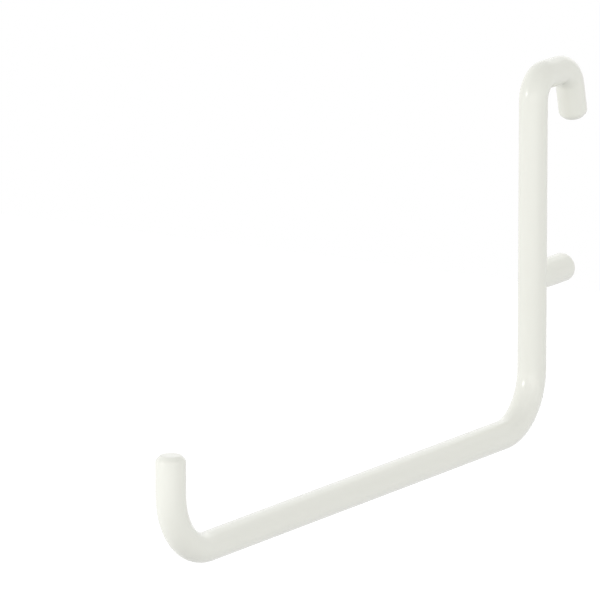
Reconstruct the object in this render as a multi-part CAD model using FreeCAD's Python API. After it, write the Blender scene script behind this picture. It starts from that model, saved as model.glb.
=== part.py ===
import FreeCAD, Part
import math
import os

# Pegboard hook: a bent steel wire with a short stud of the same wire welded to its back.
# Millimetres, +Z up. The board's front face is the plane y = 0 and the hook's arm points to -Y.
# The origin is where the back of the stem meets the underside of the top bar: the front edge of the slot.

# Wire, measured over the powder coat
WIRE = 5.0

# Arm, stem and tip
REACH = 120.0            # board face to the front of the tip
ARM_DROP = 56.0          # slot edge down to the top of the arm
TIP_HEIGHT = 15.0        # top of the arm up to the end of the tip
STEM_BEND = 7.5          # inside radius between arm and stem
TIP_BEND = 8.5           # inside radius between arm and tip

# Hook over the board
TOP_BEND = 1.5           # inside radius of both tight bends
TOP_BAR = 4.5            # straight length between them
LEG_TURN = 77.0          # degrees that the wire turns from the top bar into the leg
LEG = 6.0                # straight length of the leg

# Locating stud
STUD_DROP = 32.5         # slot edge down to the stud's centre line
STUD_REACH = 8.7         # board face to the end of the stud
WELD_TOE = 0.5           # radius of the weld where stud and stem meet

# Cut ends of the wire
END_CHAMFER = 0.8
SHOULDER_ROUND = 0.9     # where the chamfer meets the wire's side
RIM_ROUND = 0.3          # where the chamfer meets the flat end

# Centre lines that follow from the sizes above
RADIUS = WIRE / 2
STEM_Y = -RADIUS
TOP_Z = RADIUS
ARM_Z = -ARM_DROP - RADIUS
TIP_Y = RADIUS - REACH
TIP_END_Z = TIP_HEIGHT - ARM_DROP


def point(y, z):
    """A point in the hook's plane of symmetry."""
    return FreeCAD.Vector(0, y, z)


def bent_path(corners, radii):
    """Centre line through the corners, each one rounded by an arc that is tangent to both sides."""
    edges = []
    start = corners[0]
    for before, corner, after, radius in zip(corners, corners[1:], corners[2:], radii):
        back = (before - corner).normalize()
        ahead = (after - corner).normalize()
        half = back.getAngle(ahead) / 2
        middle = (back + ahead).normalize()
        arc_start = corner + back * (radius / math.tan(half))
        arc_middle = corner + middle * (radius / math.sin(half) - radius)
        arc_end = corner + ahead * (radius / math.tan(half))
        edges.append(Part.LineSegment(start, arc_start).toShape())
        edges.append(Part.Arc(arc_start, arc_middle, arc_end).toShape())
        start = arc_end
    edges.append(Part.LineSegment(start, corners[-1]).toShape())
    return Part.Wire(edges)


def dress_end(solid, end, outward):
    """Chamfer the cut end of a wire, then round both edges of the chamfer."""
    rim = [e for e in solid.Edges if e.CenterOfMass.isEqual(end, 1e-4)]
    solid = solid.makeChamfer(END_CHAMFER, rim)
    shoulder_at = end - outward * END_CHAMFER
    shoulder = [e for e in solid.Edges if e.CenterOfMass.isEqual(shoulder_at, 1e-4)]
    solid = solid.makeFillet(SHOULDER_ROUND, shoulder)
    rim = [e for e in solid.Edges if e.CenterOfMass.isEqual(end, 1e-4)]
    return solid.makeFillet(RIM_ROUND, rim)


def make_bent_wire():
    """Tip, arm, stem and board hook: one wire with four bends, all in the plane x = 0."""
    turn = math.radians(LEG_TURN)
    top_radius = TOP_BEND + RADIUS
    leg_corner_y = STEM_Y + top_radius + TOP_BAR + top_radius * math.tan(turn / 2)
    leg_run = top_radius * math.tan(turn / 2) + LEG
    leg_direction = point(math.cos(turn), -math.sin(turn))
    corners = [
        point(TIP_Y, TIP_END_Z),
        point(TIP_Y, ARM_Z),
        point(STEM_Y, ARM_Z),
        point(STEM_Y, TOP_Z),
        point(leg_corner_y, TOP_Z),
        point(leg_corner_y, TOP_Z) + leg_direction * leg_run,
    ]
    radii = [TIP_BEND + RADIUS, STEM_BEND + RADIUS, top_radius, top_radius]
    path = bent_path(corners, radii)
    section = Part.Wire(Part.makeCircle(RADIUS, corners[0], FreeCAD.Vector(0, 0, -1)))
    wire = path.makePipeShell([section], True, False)
    wire = dress_end(wire, corners[0], point(0, 1))
    return dress_end(wire, corners[-1], leg_direction)


def make_locating_stud():
    """Stud cut from the same wire, fitted round the back of the stem and welded there."""
    root = point(STEM_Y, -STUD_DROP)
    end = point(STUD_REACH, -STUD_DROP)
    outward = point(1, 0)
    up = point(0, 1)
    reach = WIRE + WELD_TOE
    stem = Part.makeCylinder(RADIUS, 2 * reach, root - up * reach)
    stem.rotate(root, up, 270)    # turns the cylinder's own seam to the front, away from the weld
    blank = Part.makeCylinder(RADIUS, end.y - root.y, root, outward)
    blank.rotate(root, outward, 180)
    blank = dress_end(blank, end, outward)
    welded = stem.fuse(blank)
    seam = [e for e in welded.Edges if on_both(e, stem, blank)]
    return welded.makeFillet(WELD_TOE, seam).cut(stem)


def on_both(edge, first, second):
    """True where the middle of an edge lies on the skin of both solids."""
    middle = Part.Vertex(edge.valueAt((edge.FirstParameter + edge.LastParameter) / 2))
    return all(middle.distToShape(solid.Shells[0])[0] < 1e-4 for solid in (first, second))


bent_wire = make_bent_wire()
locating_stud = make_locating_stud()

os.makedirs("parts", exist_ok=True)
bent_wire.exportStep("parts/bent_wire.step")
locating_stud.exportStep("parts/locating_stud.step")
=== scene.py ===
import bmesh
import bpy
import math
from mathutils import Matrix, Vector


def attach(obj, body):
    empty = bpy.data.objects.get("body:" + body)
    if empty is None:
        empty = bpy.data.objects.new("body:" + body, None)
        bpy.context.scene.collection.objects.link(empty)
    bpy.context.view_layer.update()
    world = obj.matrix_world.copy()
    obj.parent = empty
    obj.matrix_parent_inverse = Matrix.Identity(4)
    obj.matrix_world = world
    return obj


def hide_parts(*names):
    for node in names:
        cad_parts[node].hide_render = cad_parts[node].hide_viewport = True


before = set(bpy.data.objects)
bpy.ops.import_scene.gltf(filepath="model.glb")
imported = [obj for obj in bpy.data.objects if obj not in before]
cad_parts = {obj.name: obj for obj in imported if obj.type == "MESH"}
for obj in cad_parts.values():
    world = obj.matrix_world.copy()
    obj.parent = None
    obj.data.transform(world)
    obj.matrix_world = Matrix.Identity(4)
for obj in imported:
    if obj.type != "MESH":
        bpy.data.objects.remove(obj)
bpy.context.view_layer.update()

# Bent wire: bright drawn steel wire cut to length and bent cold in one plane on a wire former.
# One piece of it makes the upturned tip, the arm, the stem and the hook that goes over the board.
# Its two cut ends are chamfered so that they don't scratch what is hung on it or the board.

MM = 0.001
WIRE_RADIUS = 2.5 * MM
WIRE_SIDES = 96
HOLD = 0.2 * MM                   # short strip beside each bend that keeps the straights straight
END_HOLD = 1.4 * MM               # the same beside a cut end, clear of its chamfer

TIP_END = (0, -117.5 * MM, -41.0 * MM)
TIP_STRAIGHT = 6.5 * MM
TIP_BEND = 11.0 * MM              # radii to the wire's centre line
ARM_STRAIGHT = 94.0 * MM
STEM_BEND = 10.0 * MM
STEM_STRAIGHT = 47.0 * MM
TOP_BEND = 4.0 * MM
TOP_BAR = 4.5 * MM
LEG_TURN = math.radians(77)       # 13 degrees short of upright, so that the leg leans away from the board
LEG_STRAIGHT = 6.0 * MM
WIDE_BEND_STEPS = 40
TOP_BEND_STEPS = 36
LEG_BEND_STEPS = 32

END_CHAMFER = 0.8 * MM
SHOULDER_ROUND = 0.37 * MM        # how far the roundings reach from the chamfer's two edges
SHOULDER_STEPS = 6
RIM_ROUND = 0.12 * MM
RIM_STEPS = 4
FLAT_INSET = 0.03 * MM            # narrow ring that keeps the rounding's shading off the flat end

EDGE_TOLERANCE = 0.01 * MM        # for the edges that are picked by their depth below a cut end
FINE_TOLERANCE = 0.001 * MM       # for the flat end itself and for doubles
SMOOTH_ANGLE = math.radians(35)


def start_round_bar(name, end, tilt):
    """A disc of the wire's section at one end of a new piece, open in edit mode and selected."""
    bpy.ops.object.select_all(action="DESELECT")
    bpy.ops.mesh.primitive_circle_add(
        vertices=WIRE_SIDES, radius=WIRE_RADIUS, fill_type="NGON", location=end, rotation=(tilt, 0, 0))
    piece = bpy.context.object
    piece.name = name
    bpy.ops.object.transform_apply(location=True, rotation=True, scale=True)
    bpy.ops.object.mode_set(mode="EDIT")
    bpy.ops.mesh.select_mode(type="FACE")
    bpy.ops.mesh.select_all(action="SELECT")
    return piece


def draw_straight(direction, length, first=HOLD, last=HOLD):
    """Pulls the selected section along a straight, with a short strip at each end of it."""
    for step in (first, length - first - last, last):
        bpy.ops.mesh.extrude_region_move(TRANSFORM_OT_translate={"value": [step * d for d in direction]})


def bend(centre_y, centre_z, angle, steps):
    """Sweeps the selected section round a former; a positive angle turns +Y towards +Z."""
    bpy.ops.mesh.spin(steps=steps, angle=angle, center=(0, centre_y, centre_z), axis=(-1, 0, 0))


def pick_edges(piece, test):
    """Selects the edges whose two ends both pass the test, and nothing else."""
    bpy.ops.mesh.select_mode(type="EDGE")
    bpy.ops.mesh.select_all(action="DESELECT")
    mesh = bmesh.from_edit_mesh(piece.data)
    for edge in mesh.edges:
        edge.select = all(test(vertex.co) for vertex in edge.verts)
    bmesh.update_edit_mesh(piece.data)


def dress_cut_end(piece, end, outward):
    """Chamfers a cut end, rounds both edges of the chamfer and keeps the flat in the middle flat."""
    def depth(co):
        return sum((e - c) * d for e, c, d in zip(end, co, outward))

    pick_edges(piece, lambda co: abs(depth(co)) < EDGE_TOLERANCE)
    bpy.ops.mesh.bevel(offset=END_CHAMFER, segments=1, affect="EDGES")
    pick_edges(piece, lambda co: abs(depth(co) - END_CHAMFER) < EDGE_TOLERANCE)
    bpy.ops.mesh.bevel(offset=SHOULDER_ROUND, segments=SHOULDER_STEPS, affect="EDGES")
    pick_edges(piece, lambda co: abs(depth(co)) < EDGE_TOLERANCE)
    bpy.ops.mesh.bevel(offset=RIM_ROUND, segments=RIM_STEPS, affect="EDGES")
    bpy.ops.mesh.select_mode(type="FACE")
    mesh = bmesh.from_edit_mesh(piece.data)
    for face in mesh.faces:
        face.select = all(abs(depth(vertex.co)) < FINE_TOLERANCE for vertex in face.verts)
    bmesh.update_edit_mesh(piece.data)
    bpy.ops.mesh.inset(thickness=FLAT_INSET)


def close_piece(piece):
    """Merges doubles, turns every face outwards and shades the piece smooth."""
    bpy.ops.mesh.select_all(action="SELECT")
    bpy.ops.mesh.remove_doubles(threshold=FINE_TOLERANCE)
    bpy.ops.mesh.normals_make_consistent(inside=False)
    bpy.ops.object.mode_set(mode="OBJECT")
    bpy.ops.object.shade_smooth_by_angle(angle=SMOOTH_ANGLE)


stem_y = -WIRE_RADIUS
arm_z = TIP_END[2] - TIP_STRAIGHT - TIP_BEND
tip_bend_y = TIP_END[1] + TIP_BEND
stem_bend_y = tip_bend_y + ARM_STRAIGHT
stem_top_z = arm_z + STEM_BEND + STEM_STRAIGHT
top_bend_y = stem_y + TOP_BEND
leg_bend_y = top_bend_y + TOP_BAR
leg_direction = (0, math.cos(LEG_TURN), -math.sin(LEG_TURN))
leg_top = (0, leg_bend_y + TOP_BEND * math.sin(LEG_TURN), stem_top_z + TOP_BEND * math.cos(LEG_TURN))
leg_end = tuple(top + LEG_STRAIGHT * d for top, d in zip(leg_top, leg_direction))

wire = start_round_bar("coated_wire", TIP_END, 0)
draw_straight((0, 0, -1), TIP_STRAIGHT, first=END_HOLD)
bend(tip_bend_y, arm_z + TIP_BEND, math.radians(90), WIDE_BEND_STEPS)
draw_straight((0, 1, 0), ARM_STRAIGHT)
bend(stem_bend_y, arm_z + STEM_BEND, math.radians(90), WIDE_BEND_STEPS)
draw_straight((0, 0, 1), STEM_STRAIGHT)
bend(top_bend_y, stem_top_z, math.radians(-90), TOP_BEND_STEPS)
draw_straight((0, 1, 0), TOP_BAR)
bend(leg_bend_y, stem_top_z, -LEG_TURN, LEG_BEND_STEPS)
draw_straight(leg_direction, LEG_STRAIGHT, last=END_HOLD)
dress_cut_end(wire, TIP_END, (0, 0, 1))
dress_cut_end(wire, leg_end, leg_direction)
close_piece(wire)

# The whole hook is sprayed with polyester powder after welding and baked: an even, warm off-white skin
# with a soft gloss. The melted grains leave a faint orange peel, shallow waves about a millimetre long.

COAT_TONES = ("#EEEEE6", "#EBECE3")
COAT_ROUGHNESS = (0.19, 0.25)
COAT_IOR = 1.5
PEEL_WAVE = 1.3 * MM
PEEL_HEIGHT = 0.010 * MM
CLOUD = 22 * MM                   # size of the slow changes in film thickness that shift tone and gloss
MIX_A, MIX_B, MIX_RESULT = 6, 7, 2    # a Mix node's sockets for colours, whose names aren't unique


def srgb(code):
    """A #RRGGBB colour as linear red, green, blue and alpha."""
    parts = [int(code[i:i + 2], 16) / 255 for i in (1, 3, 5)]
    return [p / 12.92 if p <= 0.04045 else ((p + 0.055) / 1.055) ** 2.4 for p in parts] + [1]


def add_node(tree, kind, settings, links):
    """Adds a node, sets its inputs and properties by name, and links sockets into it."""
    node = tree.nodes.new(kind)
    for key, value in settings.items():
        if isinstance(key, int) or key in node.inputs:
            node.inputs[key].default_value = value
        else:
            setattr(node, key, value)
    for key, source in links.items():
        tree.links.new(source, node.inputs[key])
    return node


def new_material(name):
    """An empty material and its node tree."""
    material = bpy.data.materials.new(name)
    material.use_nodes = True
    material.node_tree.nodes.clear()
    return material, material.node_tree


coat, tree = new_material("polyester_powder_coat_off_white")
place = add_node(tree, "ShaderNodeTexCoord", {}, {}).outputs["Object"]
cloud = add_node(tree, "ShaderNodeTexNoise", {"Scale": 1 / CLOUD, "Detail": 2.0}, {"Vector": place})
tone = add_node(tree, "ShaderNodeMix", {
    "data_type": "RGBA", MIX_A: srgb(COAT_TONES[0]), MIX_B: srgb(COAT_TONES[1])}, {
    "Factor": cloud.outputs["Fac"]})
gloss = add_node(tree, "ShaderNodeMapRange", {
    "To Min": COAT_ROUGHNESS[0], "To Max": COAT_ROUGHNESS[1]}, {"Value": cloud.outputs["Fac"]})
peel = add_node(tree, "ShaderNodeTexNoise", {"Scale": 1 / PEEL_WAVE, "Detail": 1.0}, {"Vector": place})
waves = add_node(tree, "ShaderNodeBump", {
    "Strength": 1.0, "Distance": PEEL_HEIGHT}, {"Height": peel.outputs["Fac"]})
skin = add_node(tree, "ShaderNodeBsdfPrincipled", {"IOR": COAT_IOR}, {
    "Base Color": tone.outputs[MIX_RESULT],
    "Roughness": gloss.outputs["Result"],
    "Normal": waves.outputs["Normal"]})
add_node(tree, "ShaderNodeOutputMaterial", {}, {"Surface": skin.outputs["BSDF"]})

wire.data.materials.append(coat)
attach(wire, "root")
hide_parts("bent_wire")

# Locating stud: a short end of the same wire, its root fitted round the back of the stem and welded on.
# It drops into the slot below the one that the hook hangs in and stops the hook from swinging.
# The weld is dressed to a small even hollow that fades out where the two round surfaces run level.

STUD_Z = -32.5 * MM
STUD_END = (0, 8.7 * MM, STUD_Z)
WELD_TOE = 0.5 * MM
WELD_STEPS = 6
SINK = 0.02 * MM                  # how far the weld's edge goes under the stem's skin
PLUG = 0.9                        # share of the weld's width left where the root is closed inside the stem

stud = start_round_bar("coated_stud", STUD_END, math.radians(-90))
draw_straight((0, -1, 0), STUD_END[1] - stem_y + 2 * HOLD, first=END_HOLD)

# The root is cut to a fork by two planes that meet on the stem's centre line.
weld_reach = WIRE_RADIUS + WELD_TOE
flare = weld_reach / WIRE_RADIUS
for side in (1, -1):
    bpy.ops.mesh.select_all(action="SELECT")
    bpy.ops.mesh.bisect(plane_co=(0, stem_y + HOLD, STUD_Z), plane_no=(0, 1, side * flare), clear_inner=True)
bpy.ops.mesh.select_mode(type="EDGE")
bpy.ops.mesh.select_all(action="DESELECT")
bpy.ops.mesh.select_non_manifold(
    use_wire=False, use_boundary=True, use_multi_face=False, use_non_contiguous=False, use_verts=False)
bpy.ops.mesh.extrude_region_move(TRANSFORM_OT_translate={"value": (0, -HOLD, 0)})

# From the fork's edge the weld's hollow is pulled out over the stem ring by ring, then closed inside it.
stem_centre = (0, stem_y, STUD_Z)
reach_y = weld_reach
reach_z = WIRE_RADIUS
for step in range(1, WELD_STEPS + 1):
    turn = math.radians(90) * step / WELD_STEPS
    next_y = weld_reach - WELD_TOE * math.sin(turn) - SINK * step / WELD_STEPS
    next_z = weld_reach - WELD_TOE * math.cos(turn)
    bpy.ops.mesh.extrude_region()
    bpy.ops.transform.resize(value=(1, next_y / reach_y, next_z / reach_z), center_override=stem_centre)
    reach_y, reach_z = next_y, next_z
bpy.ops.mesh.extrude_region()
bpy.ops.transform.resize(value=(PLUG, 0, PLUG), center_override=stem_centre)
bpy.ops.mesh.edge_face_add()
dress_cut_end(stud, STUD_END, (0, 1, 0))
close_piece(stud)

stud.data.materials.append(coat)
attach(stud, "root")
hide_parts("locating_stud")

# Floor: a sheet of matt pale paper well below the hook, which hangs free above it.
# It glows a little where it is only seen, so that it shows white and still takes the hook's shadow.

HOOK_MIDDLE = (0, -0.05, -0.03)
FLOOR_Z = -0.16
FLOOR_SIZE = 1.1
PAPER = "#C0C0C0"
WHITE = (1, 1, 1, 1)
GLOW = 0.58                       # what the sheet lacks to white, added where it is seen


def seen_by_view(tree):
    """1 for rays that show what lies behind the hook, straight or mirrored; 0 for light that falls on it."""
    path = add_node(tree, "ShaderNodeLightPath", {}, {}).outputs
    seen = add_node(tree, "ShaderNodeMath", {"operation": "MAXIMUM"}, {
        0: path["Is Camera Ray"], 1: path["Is Transmission Ray"]})
    return add_node(tree, "ShaderNodeMath", {"operation": "MAXIMUM"}, {
        0: seen.outputs[0], 1: path["Is Glossy Ray"]}).outputs[0]


sheet, tree = new_material("matt_pale_paper")
glow = add_node(tree, "ShaderNodeMath", {"operation": "MULTIPLY", 1: GLOW}, {0: seen_by_view(tree)})
paper = add_node(tree, "ShaderNodeBsdfDiffuse", {"Color": srgb(PAPER)}, {})
white = add_node(tree, "ShaderNodeEmission", {"Color": WHITE}, {"Strength": glow.outputs[0]})
both = add_node(tree, "ShaderNodeAddShader", {}, {0: paper.outputs[0], 1: white.outputs[0]})
add_node(tree, "ShaderNodeOutputMaterial", {}, {"Surface": both.outputs[0]})

bpy.ops.object.select_all(action="DESELECT")
bpy.ops.mesh.primitive_plane_add(size=FLOOR_SIZE, location=(HOOK_MIDDLE[0], HOOK_MIDDLE[1], FLOOR_Z))
floor = bpy.context.object
floor.name = "floor"
floor.data.materials.append(sheet)

# Light: even pale air all round that shows as white, and soft boxes. A wide one in front at the right lights
# the hook, a small one at the left draws the two highlights, and a low strip lights the bend of the tip from
# below. The rest lift the edges from the left, the right, above and behind.

AIR = 0.50                        # strength of the air's light, which is topped up to white where it is seen

world = bpy.data.worlds.new("studio")
bpy.context.scene.world = world
world.use_nodes = True
tree = world.node_tree
tree.nodes.clear()
top_up = add_node(tree, "ShaderNodeMath", {"operation": "MULTIPLY", 1: 1 - AIR}, {0: seen_by_view(tree)})
level = add_node(tree, "ShaderNodeMath", {"operation": "ADD", 1: AIR}, {0: top_up.outputs[0]})
air = add_node(tree, "ShaderNodeBackground", {"Color": WHITE}, {"Strength": level.outputs[0]})
add_node(tree, "ShaderNodeOutputWorld", {}, {"Surface": air.outputs[0]})


def soft_box(name, centre, width, height, watts, mirrored):
    """A rectangular lamp, sized in metres, that faces the hook; a mirrored one also shows in its gloss."""
    lamp = bpy.data.lights.new(name, "AREA")
    lamp.shape = "RECTANGLE"
    lamp.size = width
    lamp.size_y = height
    lamp.energy = watts
    box = bpy.data.objects.new(name, lamp)
    bpy.context.collection.objects.link(box)
    box.location = centre
    box.rotation_euler = (box.location - Vector(HOOK_MIDDLE)).to_track_quat("Z", "Y").to_euler()
    box.visible_camera = False
    box.visible_glossy = mirrored


soft_box("soft_box_key", (-0.64, -1.07, 0.34), 0.23, 0.23, 2.6, True)
soft_box("soft_box_front", (0.69, -1.01, -0.01), 1.56, 0.78, 4.3, True)
soft_box("soft_box_low", (-0.18, -0.66, -0.13), 0.5, 0.14, 1.03, False)
soft_box("soft_box_left", (-1.08, -0.44, -0.08), 0.9, 0.3, 2.5, False)
soft_box("soft_box_right", (1.14, 0.16, 0.02), 0.9, 0.24, 3.8, False)
soft_box("soft_box_high", (-0.48, 0.52, 0.89), 0.6, 0.6, 4.1, False)
soft_box("soft_box_behind", (-0.41, 1.0, 0.48), 0.9, 0.78, 1.1, True)

# Camera: a long lens from the right and a little above. Its place and focal length are those of a pinhole
# camera that was fitted to the photographed outline of the hook.

CAMERA_PLACE = (0.765984, -1.299210, 0.292377)
CAMERA_TILT = math.radians(77.677)      # up from straight down
CAMERA_TURN = math.radians(32.098)      # to the left of +Y, so that it looks across the hook from the right
SENSOR_WIDTH = 36                       # millimetres, as the focal length is
FOCAL_LENGTH = 535.06
NEAREST_SEEN = 0.05
FARTHEST_SEEN = 50

bpy.ops.object.camera_add(location=CAMERA_PLACE, rotation=(CAMERA_TILT, 0, CAMERA_TURN))
camera = bpy.context.object
camera.data.sensor_width = SENSOR_WIDTH
camera.data.lens = FOCAL_LENGTH
camera.data.clip_start = NEAREST_SEEN
camera.data.clip_end = FARTHEST_SEEN
bpy.context.scene.camera = camera
bpy.context.scene.view_settings.view_transform = "Standard"
